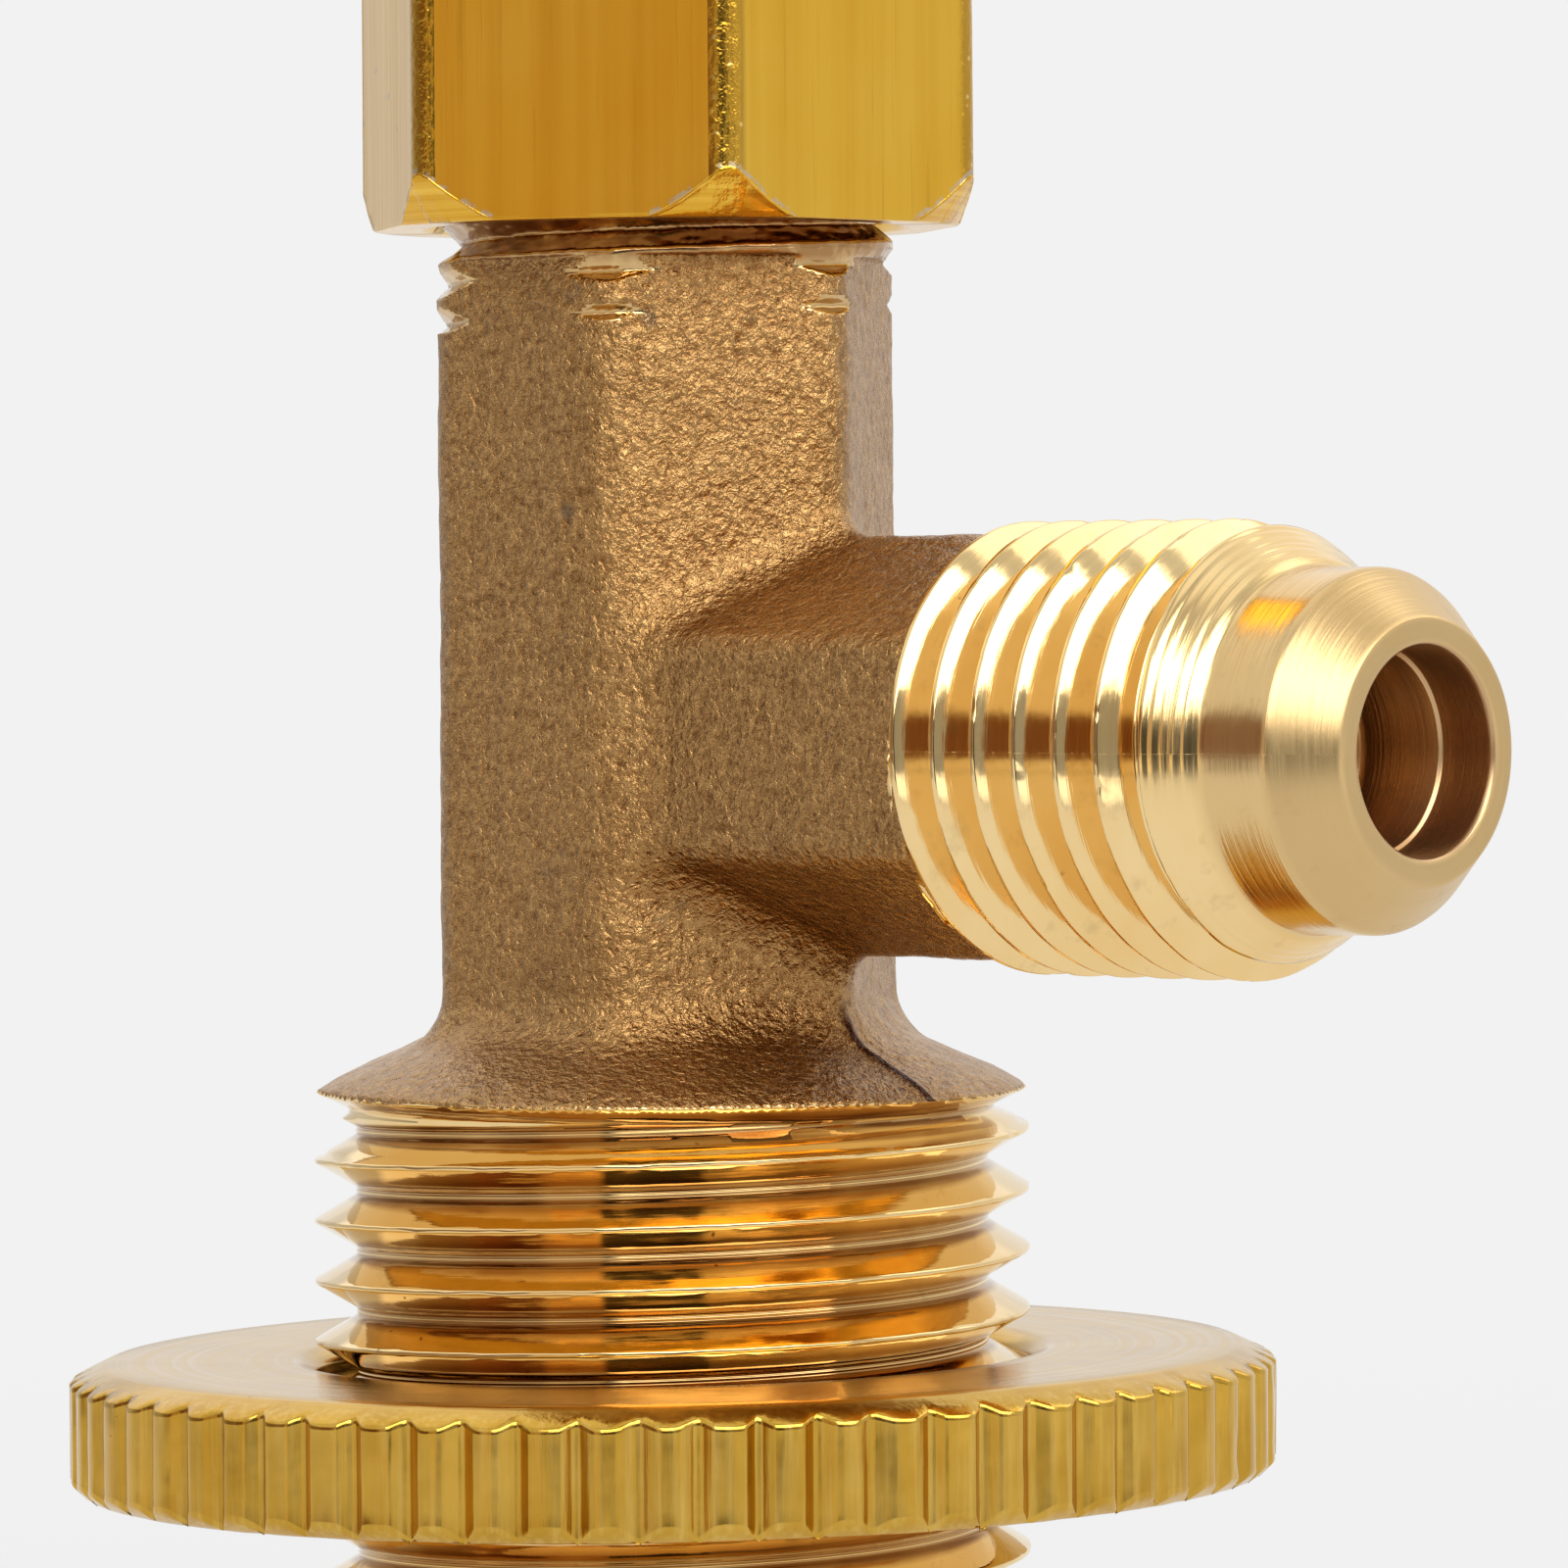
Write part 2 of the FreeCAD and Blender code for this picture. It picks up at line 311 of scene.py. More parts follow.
def forging_field(x, y, z):
    """Below 0 inside the forging: a hexagonal column and neck on a sloping shoulder."""
    r = np.hypot(x, y)
    soft_corner = 0.13*np.exp(-((x - 2.9)**2 + (y + 5.0)**2)/0.9)
    column = hexagon_distance(x, y, COLUMN_HALF, COLUMN_CORNER) + soft_corner
    column = np.maximum(column, z - COLUMN_TOP)
    ring = np.maximum(r - 5.66, np.maximum(COLUMN_TOP - 0.02 - z, z - 40.6))
    column = np.minimum(column, ring)
    edge = np.clip(r - 8.0, 0, None)
    slope = RIM_Z + 0.05 + (RIM_R - r)*SHOULDER_SLOPE - 0.16*edge**2*(r < 12)
    cone = np.maximum((z - slope)*0.91, r - RIM_R)
    flank = ((RIM_Z - 0.02) - z + (r - RIM_R)*0.5)*0.894
    body = round_union(column, np.maximum(cone, flank), 0.9)
    neck = np.maximum(hexagon_distance(z - PORT_Z, y, NECK_HALF, NECK_CORNER), x - NECK_END)
    body = round_union(body, np.maximum(neck, -x), 1.0)
    # The parting line is a faint ridge on the column and stands proud on the shoulder
    seam = (0.006 + 0.09*smooth_step(20.9 - z))*np.exp(-(y/0.14)**2)*smooth_step((z - 18.5)/0.15)
    body = body - seam*(r > 4)*(z < 37)
    return np.maximum(body, np.where((z > 36.5) & (z < 40.6), thread_distance(x, y, z), -1.0))


def surface_net(field, axes):
    """Vertices and quads of the zero surface of a field sampled on a grid."""
    inside = field < 0
    corners = list(np.ndindex(2, 2, 2))
    nx, ny, nz = (n - 1 for n in field.shape)
    count = np.zeros((nx, ny, nz), dtype=np.int8)
    for i, j, k in corners:
        count += inside[i:nx + i, j:ny + j, k:nz + k]
    cell = np.argwhere((count > 0) & (count < 8))
    index = np.full((nx, ny, nz), -1, dtype=np.int64)
    index[tuple(cell.T)] = np.arange(len(cell))
    total = np.zeros((len(cell), 3))
    hits = np.zeros(len(cell))
    for a in corners:
        for axis in range(3):
            if a[axis]:
                continue
            b = tuple(v + (m == axis) for m, v in enumerate(a))
            fa = field[tuple((cell + a).T)]
            fb = field[tuple((cell + b).T)]
            cross = (fa < 0) != (fb < 0)
            t = np.where(cross, fa/np.where(cross, fa - fb, 1), 0)
            for m in range(3):
                low = axes[m][cell[:, m] + a[m]]
                place = low + t*(axes[m][cell[:, m] + a[m] + 1] - low) if m == axis else low
                total[:, m] += np.where(cross, place, 0)
            hits += cross
    points = total/hits[:, None]
    quads = []
    for axis in range(3):
        lower = [slice(None)]*3
        upper = [slice(None)]*3
        lower[axis] = slice(0, -1)
        upper[axis] = slice(1, None)
        change = inside[tuple(lower)] != inside[tuple(upper)]
        at = np.argwhere(change)
        u, v = [m for m in range(3) if m != axis]
        ok = (at[:, u] > 0) & (at[:, v] > 0) & (at[:, u] < (nx, ny, nz)[u]) & (at[:, v] < (nx, ny, nz)[v])
        at = at[ok]
        around = []
        for du, dv in ((-1, -1), (0, -1), (0, 0), (-1, 0)):
            q = at.copy()
            q[:, u] += du
            q[:, v] += dv
            around.append(index[tuple(q.T)])
        quad = np.stack(around, 1)
        flip = inside[tuple(at.T)] == (axis == 1)
        quad[flip] = quad[flip][:, ::-1]
        quads.append(quad)
    return points, np.vstack(quads)


def field_gradient(p, e=0.01):
    """Slope of the forging's field at points p, from steps of e mm."""
    g = []
    for m in range(3):
        hi, lo = p.copy(), p.copy()
        hi[:, m] += e
        lo[:, m] -= e
        g.append((forging_field(*hi.T) - forging_field(*lo.T))/(2*e))
    return np.stack(g, 1)


def forging_surface():
    """Points and quads of the forging, with finer rows where the upper thread runs out."""
    step, fine_step, fine_from = 0.132, 0.08, 37.1
    xs = np.arange(-9.15, 12.4, step)
    ys = np.arange(-9.15, 9.2, step)
    zs = np.concatenate([np.arange(17.6, fine_from, step), np.arange(fine_from, 40.7, fine_step)])
    field = forging_field(*np.meshgrid(xs, ys, zs, indexing="ij"))
    points, quads = surface_net(field, (xs, ys, zs))
    for _ in range(2):
        g = field_gradient(points)
        length2 = np.maximum((g*g).sum(1), 0.2)
        shift = forging_field(*points.T)/length2
        points = points - g*np.clip(shift, -0.05, 0.05)[:, None]
    return points, quads


def make_forging(forged, machined):
    points, quads = forging_surface()
    g = field_gradient(points, 0.03)
    normal = g/np.maximum(np.linalg.norm(g, axis=1), 1e-6)[:, None]
    r = np.hypot(points[:, 0], points[:, 1])
    cut = (points[:, 2] > 36.6) & (thread_distance(*points.T) > -0.02)
    under = (points[:, 2] < RIM_Z + 0.5*(r - RIM_R) + 0.03) & (r > 6.5)
    worked = cut | under | (points[:, 2] > COLUMN_TOP - 0.1)
    lumps = 0.035*noise3(points, 2.6, 1) + 0.022*noise3(points, 1.1, 2) + 0.012*noise3(points, 0.45, 3)
    grain = 0.012*noise3(points, 0.24, 4)
    points = points + normal*np.where(worked, 0.004*noise3(points, 0.5, 5), lumps + grain)[:, None]
    # The inside and the two ends are covered by the turned pieces
    x, y, z = points[quads].mean(1).T
    r = np.hypot(x, y)
    hidden = (z < 17.95) | ((r < 7.75) & (z < 18.1)) | (z > 40.3) | (r < 3.8)
    quads = quads[~hidden]
    used = np.unique(quads)
    remap = np.full(len(points), -1)
    remap[used] = np.arange(len(used))
    obj = add_mesh("forged_body", points[used], [remap[quads]], "tap_body",
                   [forged, machined], "valve_body")
    index = worked[quads].sum(1) >= 3
    obj.data.polygons.foreach_set("material_index", index.astype(np.int32))


# turned pieces

def even(n):
    return np.arange(n)/n*TAU


def burr(p, seed, cell=0.35):
    """Mostly nothing, with short raised spots."""
    n = noise3(p, cell, seed)*0.7 + noise3(p, cell*0.4, seed + 50)*0.5
    return np.clip(n - 0.35, 0, None)


def make_base(material):
    t = Turned(even(288))

    def outside(above, s):
        r = m18_radius(above)
        r = r - 0.12*(np.abs(above - 0.12) < 0.03)*smooth_step((s - 16.2)/0.3)
        r = np.where(s > 17.62, np.minimum(r, 8.05 + np.clip(17.80 - s, 0, None)*5), r)
        return np.minimum(r, 8.1 + s)

    t.rows((6.9, 0.4), (6.9, 0.0), (7.6, 0.0), (8.02, 0.0))
    t.thread(0.04, 17.9, M18_PITCH, M18_AT_ZERO, M18_STEPS, outside)
    t.rows((8.05, 18.0), (8.08, 18.12), (7.6, 18.3), (3.7, 18.35), (3.7, 18.0), (6.9, 17.9))

    def bump(p, r, s):
        crest = smooth_step((r - 8.85)/0.04)*(s < 17.7)
        worn = 0.012*noise3(p, 0.7, 11) + 0.008*noise3(p*[1, 1, 3], 0.3, 12)
        dr = crest*(worn - 0.07*burr(p, 13, 0.5)) + 0.001*noise3(p*[0.5, 0.5, 2], 0.9, 14)
        ridge = np.exp(-((r - 8.01)/0.03)**2)*(s < 18)*(s > 1)
        dr = dr + ridge*0.02*noise3(p, 0.5, 15)
        ds = crest*0.015*noise3(p, 0.5, 16)
        flat = (s < 0.01) | (r < 7)
        return np.where(flat, 0, dr), np.where(flat, 0, ds)

    turned_mesh("base_thread", t, "tap_body", [material], "valve_body", bump)


def make_socket(material):
    """Threaded can socket, gasket seat, needle passage and valve seat inside the body."""
    t = Turned(even(120))
    pitch = 0.907

    def inside(above, s):
        near = np.minimum(above, pitch - above)
        r = 5.08 + 0.45*np.clip((near - 0.06)/0.33, 0, 1)
        return np.maximum(r, 5.72 - s)

    t.rows((6.9, 0.0), (6.9, 17.9), (3.7, 18.0), (3.7, 20.9), (2.2, 21.0), (1.6, 20.4), (1.6, 14.0),
           (1.6, 8.08), (1.7, 8.06), (5.4, 8.06), (5.5, 8.0), (5.5, 6.1), (5.3, 6.02))
    t.thread(0.03, 6.0, pitch, 0.3, (0, 0.1, 0.2, 0.3, 0.4, 0.5, 0.6, 0.7, 0.8), inside, down=True)
    t.rows((5.75, 0.0), (6.2, 0.0))
    turned_mesh("can_socket", t, "tap_body", [material], "valve_body")


def make_port(material, bore_material):
    t = Turned(even(300))
    t.rows((2.6, 4.0), (2.6, 11.6), (3.4, 11.7), (4.5, 11.72))
    t.thread(11.74, 20.9, FLARE_PITCH, FLARE_AT_ZERO, FLARE_STEPS, flare_radius)
    # Hollow end of the thread, plain nose, cone, mouth, and the bore with its two steps
    t.rows((4.45, 20.95), (4.36, 21.02), (4.315, 21.08), (4.295, 21.15), (4.285, 21.3))
    t.rows((4.28, 21.6), (4.275, 22.0), (4.27, 22.4), (4.27, 22.82), (4.255, 22.93), (4.20, 23.03))
    t.rows((4.12, 23.12), (3.95, 23.32), (3.72, 23.59), (3.48, 23.87), (3.27, 24.11), (3.18, 24.22))
    t.rows((3.13, 24.28), (3.07, 24.31), (2.9, 24.31), (2.65, 24.31), (2.53, 24.30), (2.47, 24.25))
    t.rows((2.46, 24.1), (2.46, 23.3), (2.46, 22.79), (2.45, 22.76), (2.37, 22.745), (2.35, 22.71))
    t.rows((2.35, 20.6), (2.352, 20.42), (2.33, 20.38), (2.30, 20.36), (2.30, 16.0), (2.30, 11.0))
    t.row(2.35, 4.0)

    def bump(p, r, s):
        q = p*[1.5, 1, 1]
        crest = smooth_step((r - 5.2)/0.15)*(s < 20.2)
        dr = crest*(0.010*noise3(q, 0.8, 21) - 0.05*burr(q, 22, 0.45)*(s > 12.2))
        start = smooth_step((12.35 - s)/0.6)*(s > 11.7)*(r > 4.7)
        dr = dr + start*(0.10*noise3(q, 0.55, 23) - 0.05) + start*0.05*noise3(q, 0.25, 24)
        dr = np.where(r < 4.7, 0, dr)
        return dr, start*0.05*noise3(q, 0.4, 25)

    obj = turned_mesh("flare_port", t, "tap_body", [material, bore_material],
                      "valve_body", bump, along_x=True)
    mesh = obj.data
    centre = np.empty(len(mesh.polygons)*3)
    mesh.polygons.foreach_get("center", centre)
    centre = centre.reshape(-1, 3)/MM
    radial = np.hypot(centre[:, 1], centre[:, 2] - PORT_Z)
    mesh.polygons.foreach_set("material_index", (radial < 2.5).astype(np.int32))


def make_top_thread(material):
    """Thread inside the bonnet, on the top of the column, and the column's bore."""
    t = Turned(even(160))

    def outside(above, s):
        thread = plain_radius(above, M12_PITCH, 5.65, 0.5, 0.04)
        return np.minimum(thread, 5.3 + np.clip(47.0 - s, 0, None))

    t.rows((3.45, 21.05), (3.7, 21.05), (3.7, 38.0), (3.7, 40.25), (5.2, 40.28))
    t.thread(40.3, 46.98, M12_PITCH, M12_AT_ZERO, PLAIN_STEPS, outside)
    t.rows((5.2, 47.0), (3.5, 47.0), (3.45, 46.95), (3.45, 34.0))
    turned_mesh("bonnet_thread", t, "tap_body", [material], "valve_body")


def hexagon_outline(flats, corner_r, first_corner, per_flat=26, per_corner=14):
    """Angles and radii of a rounded hexagon, corner by corner."""
    centre = (flats/2 - corner_r)/math.cos(math.radians(30))

    def place(k, degrees):
        """Point on the rounding of corner k, this far round from its middle."""
        at = math.radians(first_corner + 60*k)
        turn = at + math.radians(degrees)
        return centre*math.cos(at) + corner_r*math.cos(turn), centre*math.sin(at) + corner_r*math.sin(turn)

    points = []
    for k in range(6):
        points += [place(k, -30 + 60*i/per_corner) for i in range(per_corner + 1)]
        a, b = points[-1], place(k + 1, -30)
        for i in range(1, per_flat):
            f = i/per_flat
            points.append((a[0] + (b[0] - a[0])*f, a[1] + (b[1] - a[1])*f))
    p = np.array(points)
    theta = np.unwrap(np.arctan2(p[:, 1], p[:, 0]))
    return theta, np.hypot(p[:, 0], p[:, 1])


def make_nut(material):
    theta, hexagon = hexagon_outline(14.0, 0.66, NUT_CORNER)
    t = Turned(theta)
    ring = np.stack([np.cos(theta)*hexagon, np.sin(theta)*hexagon, 0*theta], 1)
    worn = 0.03*noise3(ring, 0.5, 31) + 0.02*noise3(ring, 0.2, 32)
    depth = np.clip(hexagon - NUT_FACE_R, 0, None)*NUT_CHAMFER
    low = NUT_BOTTOM + np.maximum(depth + worn*0.5, 0.03)
    high = NUT_TOP - np.maximum(depth - worn*0.5, 0.03)
    outer = np.minimum(NUT_FACE_R, hexagon - 0.02)
    t.rows((5.84, NUT_BOTTOM + 0.25), (6.05, NUT_BOTTOM + 0.02), (6.1, NUT_BOTTOM))
    t.row(0.5*(6.1 + outer), NUT_BOTTOM)
    t.row(outer - 0.03, NUT_BOTTOM)
    t.between((outer, NUT_BOTTOM + 0.012), (hexagon, low), (0.02, 0.3, 0.6, 0.9))
    lip = 0.018*np.clip(noise3(ring, 0.45, 33) + 0.5, 0, None)
    lip_rows = ((0.6, -0.015), (1.0, 0.01), (0.3, 0.05), (0.0, 0.12))
    for share, inward in lip_rows:
        t.row(hexagon + lip*share, low + inward)
    t.between((hexagon, low + 0.12), (hexagon, high - 0.12), np.linspace(0.03, 0.97, 30))
    for share, inward in reversed(lip_rows):
        t.row(hexagon + lip*share, high - inward)
    t.between((outer, NUT_TOP - 0.012), (hexagon, high), (0.9, 0.6, 0.3, 0.02))
    t.row(outer - 0.03, NUT_TOP)
    t.row(0.5*(outer + 3.6), NUT_TOP)
    t.rows((3.6, NUT_TOP), (3.4, NUT_TOP - 0.03), (3.0, NUT_TOP - 0.4), (2.98, NUT_TOP - 0.5),
           (2.98, 47.05), (3.1, 47.0), (5.8, 47.0), (5.84, 46.9))

    def bump(p, r, s):
        wave = 0.012*noise3(p*[1, 1, 0.25], 2.4, 34) + 0.004*noise3(p*[1, 1, 0.12], 0.7, 35)
        pits = -0.015*burr(p, 36, 0.6)
        side = (r > 6.99) & (s > NUT_BOTTOM + 0.02) & (s < NUT_TOP - 0.02)
        return np.where(side, wave + pits, 0), 0

    turned_mesh("hexagon_bonnet", t, "tap_body", [material], "bonnet_nut", bump)


def knurled_outline():
    """Angles and radii of the disc's edge, its grooves a little uneven in place, width and depth."""
    teeth, groove_half = 66, 0.27
    pattern = (0.0, 0.10, 0.2, 0.235, 0.27, 0.33, 0.42, 0.5, 0.58, 0.67, 0.73, 0.765, 0.8, 0.9)
    rng = np.random.default_rng(41)
    shift = rng.normal(0, 0.018, teeth)
    wide = rng.normal(1.0, 0.10, teeth)
    deep = rng.normal(1.0, 0.09, teeth)
    theta, edge = [], []
    for k in range(teeth):
        for f in pattern:
            off = min(f, 1 - f)
            near = off*wide[k]
            theta.append((k + f + shift[k]*(1 - 2*off))/teeth*TAU)
            groove = 0.33*deep[k]*np.clip(1 - near/groove_half, 0, 1)**0.85
            rounded = 0.02*math.exp(-((near - groove_half)/0.05)**2)
            crown = 0.015*((0.5 - off)/0.25)**2 if near > groove_half else 0.0
            edge.append(15.03 - groove - rounded - crown)
    return np.array(theta), np.array(edge)


def make_disc(material):
    theta, edge = knurled_outline()
    t = Turned(theta)
    ring = np.stack([np.cos(theta)*15, np.sin(theta)*15, 0*theta], 1)
    nick = burr(ring, 42, 0.9)
    top_face, bottom_face = 14.18, 14.7
    top = DISC_TOP - (edge - top_face)*0.5 - 0.05*nick
    bottom = DISC_BOTTOM + (edge - bottom_face)*0.95 + 0.06*burr(ring, 43, 0.7)
    t.rows((8.94, DISC_BOTTOM + 0.35), (9.3, DISC_BOTTOM), (10.5, DISC_BOTTOM), (12.0, DISC_BOTTOM),
           (13.4, DISC_BOTTOM), (14.35, DISC_BOTTOM), (bottom_face - 0.05, DISC_BOTTOM + 0.005))
    t.between((bottom_face, DISC_BOTTOM + 0.02), (edge, bottom), (0.08, 0.5, 0.93))
    t.row(edge + 0.004, bottom + 0.05)
    t.between((edge, bottom), (edge, top), (0.06, 0.2, 0.35, 0.5, 0.65, 0.8, 0.94))
    t.row(edge + 0.004, top - 0.05)
    t.between((top_face, DISC_TOP - 0.015), (edge, top), (0.93, 0.5, 0.08))
    t.rows((top_face - 0.06, DISC_TOP), (13.4, DISC_TOP), (12.2, DISC_TOP), (11.2, DISC_TOP),
           (10.3, DISC_TOP), (9.6, DISC_TOP), (9.35, DISC_TOP - 0.02), (8.97, DISC_TOP - 0.3),
           (8.94, DISC_TOP - 0.4), (8.94, 10.3))

    def bump(p, r, s):
        rim = r > 14.5
        land = smooth_step((r - 14.85)/0.12)
        worn = 0.012*noise3(p*[1, 1, 0.7], 1.1, 44) - 0.10*burr(p*[1, 1, 0.5], 45, 0.8)
        dr = np.where(rim, land*worn + 0.004*noise3(p, 0.6, 46), 0)
        flat = 0.010*noise3(p*[0.6, 0.6, 1], 2.5, 47)
        ds = np.where(rim, 0.015*noise3(p, 0.6, 48), np.where(r > 9.2, flat*(s > 10), 0))
        return dr, ds

    turned_mesh("knurled_disc", t, "disc", [material], "lock_disc", bump, lean=DISC_LEAN)


def make_stem(material):
    t = Turned(even(144))
    pitch, thread_top = 1.0, 61.9

    def outside(above, s):
        r = plain_radius(above, pitch, 2.95, 0.56, 0.05)
        return np.minimum(r, 2.4 + np.clip(thread_top - s, 0, None)*1.5 + np.where(s > 61.3, 0, 1))

    t.rows((1.1, 28.45), (1.25, 28.45), (1.35, 28.55), (3.3, 30.45), (3.35, 30.55), (3.35, 36.0),
           (3.35, 41.15), (3.3, 41.2), (2.35, 41.2), (2.35, 43.38), (3.3, 43.38), (3.35, 43.45),
           (3.35, 46.85), (3.3, 46.9), (2.5, 46.9))
    t.thread(46.95, thread_top, pitch, 47.2, PLAIN_STEPS, outside)
    hub = 4.5
    t.rows((2.5, 61.98), (3.75, 62.0), (3.85, 62.02), (4.2, 62.28), (4.42, 62.5), (hub - 0.02, 62.62),
           (hub, 62.75), (hub, 64.2), (hub, 67.0), (hub, 69.8), (hub, 71.25), (hub - 0.02, 71.38),
           (4.42, 71.5), (4.2, 71.72), (3.85, 71.98), (3.7, 72.0), (2.4, 72.0), (1.2, 72.0), (0.35, 71.98),
           (0.3, 71.9), (0.3, 32.1), (0.4, 32.05), (1.1, 32.0))
    turned_mesh("screw_stem", t, "stem", [material], "valve_stem")


def make_bar(material):
    """Cross bar along Y with rounded ends."""
    n, half, radius, rounding, height = 96, 26.0, 2.5, 1.2, 67.0
    theta = even(n)
    profile = [(0.6, -half), (1.2, -half + 0.03)]
    for k in range(7):
        turn = math.radians(90*k/6)
        profile.append((radius - rounding*(1 - math.sin(turn)), -half + rounding*(1 - math.cos(turn))))
    profile += [(radius, -20.0), (radius, -12.0), (radius, -4.0)]
    full = profile + [(r, -y) for r, y in reversed(profile)]
    rows = [np.stack([r*np.cos(theta), np.full(n, y), height + r*np.sin(theta)], 1) for r, y in full]
    points = np.vstack(rows + [[[0, -half, height]], [[0, half, height]]])
    m = len(rows)
    i = np.arange(n)
    j = (i + 1) % n
    quads = np.vstack([np.stack([k*n + i, k*n + j, (k + 1)*n + j, (k + 1)*n + i], 1) for k in range(m - 1)])
    ends = np.vstack([np.stack([np.full(n, m*n), j, i], 1),
                      np.stack([np.full(n, m*n + 1), (m - 1)*n + i, (m - 1)*n + j], 1)])
    add_mesh("cross_bar", points, outward(points, [quads, ends]), "stem", [material],
             "handle_bar")


# node trees

def rgba(value):
    """Colour with alpha 1, from (r, g, b) or from a grey level."""
    return (*value, 1.0) if isinstance(value, tuple) else (value, value, value, 1.0)


class Tree:
    """Short calls for the node tree of a material or a world."""

    def __init__(self, owner):
        owner.use_nodes = True
        self.tree = owner.node_tree
        self.tree.nodes.clear()

    def new(self, kind, inputs=None, **values):
        """A node with these settings. inputs says what goes into its sockets, by name or number."""
        node = self.tree.nodes.new(kind)
        for key, value in values.items():
            setattr(node, key, value)
        for key, value in (inputs or {}).items():
            self.put(node.inputs[key], value)
        return node

    def put(self, socket, value):
        """Links an output into the socket, or sets its number or colour."""
        if hasattr(value, "is_output"):
            self.tree.links.new(value, socket)
        elif socket.type == "RGBA":
            socket.default_value = rgba(value)
        else:
            socket.default_value = value

    def math(self, operation, a, b=0.0):
        return self.new("ShaderNodeMath", {0: a, 1: b}, operation=operation).outputs[0]

    def plus(self, a, b):
        return self.math("ADD", a, b)

    def minus(self, a, b):
        return self.math("SUBTRACT", a, b)

    def times(self, first, *others):
        for value in others:
            first = self.math("MULTIPLY", first, value)
        return first

    def ramp(self, value, low, high, start=0.0, end=1.0):
        """start at low and end at high, straight between them and level beyond."""
        inputs = {"Value": value, "From Min": low, "From Max": high, "To Min": start, "To Max": end}
        return self.new("ShaderNodeMapRange", inputs).outputs["Result"]

    def mix(self, factor, a, b):
        """Colour a where the factor is 0 and b where it is 1."""
        return self.new("ShaderNodeMix", {0: factor, 6: a, 7: b}, data_type="RGBA").outputs[2]

    def stops(self, place, stops):
        """Colour along a value, from (place, colour or grey level) stops."""
        node = self.new("ShaderNodeValToRGB", {0: place})
        elements = node.color_ramp.elements
        elements.remove(elements[-1])
        for k, (at, level) in enumerate(stops):
            element = elements.new(at) if k else elements[0]
            element.position = at
            element.color = rgba(level)
        return node.outputs[0]

    def views(self):
        """1 for camera rays, and 1 for rays that metal mirrors or that pass through glass."""
        path = self.new("ShaderNodeLightPath").outputs
        mirrored = self.math("MAXIMUM", path["Is Glossy Ray"], path["Is Transmission Ray"])
        return path["Is Camera Ray"], mirrored


class Surface(Tree):
    """Node tree of one material, in the object's own coordinates in metres."""

    def __init__(self, name):
        self.material = bpy.data.materials.new(name)
        super().__init__(self.material)
        self.shader = self.new("ShaderNodeBsdfPrincipled")
        self.new("ShaderNodeOutputMaterial", {"Surface": self.shader.outputs["BSDF"]})
        self.object = self.new("ShaderNodeTexCoord").outputs["Object"]
        self.xyz = list(self.new("ShaderNodeSeparateXYZ", {0: self.object}).outputs)

    def scaled(self, scale):
        """The coordinates, each times its own number."""
        return self.new("ShaderNodeVectorMath", {0: self.object, 1: scale}, operation="MULTIPLY").outputs[0]

    def noise(self, vector, scale, detail=2.0, rough=0.5, distortion=0.0):
        inputs = {"Vector": vector, "Scale": scale, "Detail": detail, "Roughness": rough,
                  "Distortion": distortion}
        return self.new("ShaderNodeTexNoise", inputs).outputs["Fac"]

    def cells(self, vector, scale):
        """Distance to the nearest of many scattered points."""
        return self.new("ShaderNodeTexVoronoi", {"Vector": vector, "Scale": scale}).outputs["Distance"]

    def specks(self, vector, scale, size, amount, level):
        """Small round specks of this level, over part of the surface, and 0 elsewhere."""
        near = self.ramp(self.cells(vector, scale), size, size*0.6, 0.0, level)
        where = self.ramp(self.noise(vector, scale*0.17, 1.0), 1 - amount, 1 - amount + 0.04)
        return self.times(near, where)

    def round_axis(self, along_x=False):
        """Distance from the axis, turn about it and height along it."""
        x, y, z = self.xyz
        a, b, s = (y, self.minus(z, PORT_Z*MM), x) if along_x else (x, y, z)
        r = self.math("SQRT", self.plus(self.times(a, a), self.times(b, b)))
        return r, self.math("ARCTAN2", b, a), s

    def turning_marks(self, fine, around, along_x=False):
        """Noise that runs round the axis, changing with the radius and the height."""
        r, turn, s = self.round_axis(along_x)
        inputs = {0: self.times(r, fine), 1: self.times(s, fine), 2: self.times(turn, around)}
        return self.noise(self.new("ShaderNodeCombineXYZ", inputs).outputs[0], 1.0, 3.0, 0.6)

    def bump(self, height, distance, strength=1.0, normal=None):
        inputs = {"Strength": strength, "Distance": distance, "Height": height}
        if normal is not None:
            inputs["Normal"] = normal
        return self.new("ShaderNodeBump", inputs).outputs["Normal"]

    def finish(self, color, roughness, normal, metallic=1.0):
        for name, value in (("Base Color", color), ("Roughness", roughness), ("Normal", normal)):
            self.put(self.shader.inputs[name], value)
        self.shader.inputs["Metallic"].default_value = metallic
        return self.material


# materials

def machined(n, color, dark, low, high, along_x=False):
    """Shade, roughness, lines and stains of turned brass with small dark specks."""
    lines = n.turning_marks(9000.0, 0.5, along_x)
    broad = n.noise(n.object, 260.0, 3.0, 0.6)
    stain = n.noise(n.object, 900.0, 3.0, 0.7)
    spots = n.specks(n.scaled((1.0, 1.35, 0.8)), 2100.0, 0.16, 0.30, 0.8)
    shade = n.mix(n.ramp(broad, 0.35, 0.7), color, dark)
    shade = n.mix(n.ramp(stain, 0.60, 0.78, 0, 0.35), shade, tuple(c*0.5 for c in dark))
    shade = n.mix(spots, shade, (0.07, 0.04, 0.018))
    rough = n.plus(n.ramp(lines, 0.3, 0.7, low, high), n.ramp(stain, 0.55, 0.8, 0, low))
    return shade, rough, lines, stain


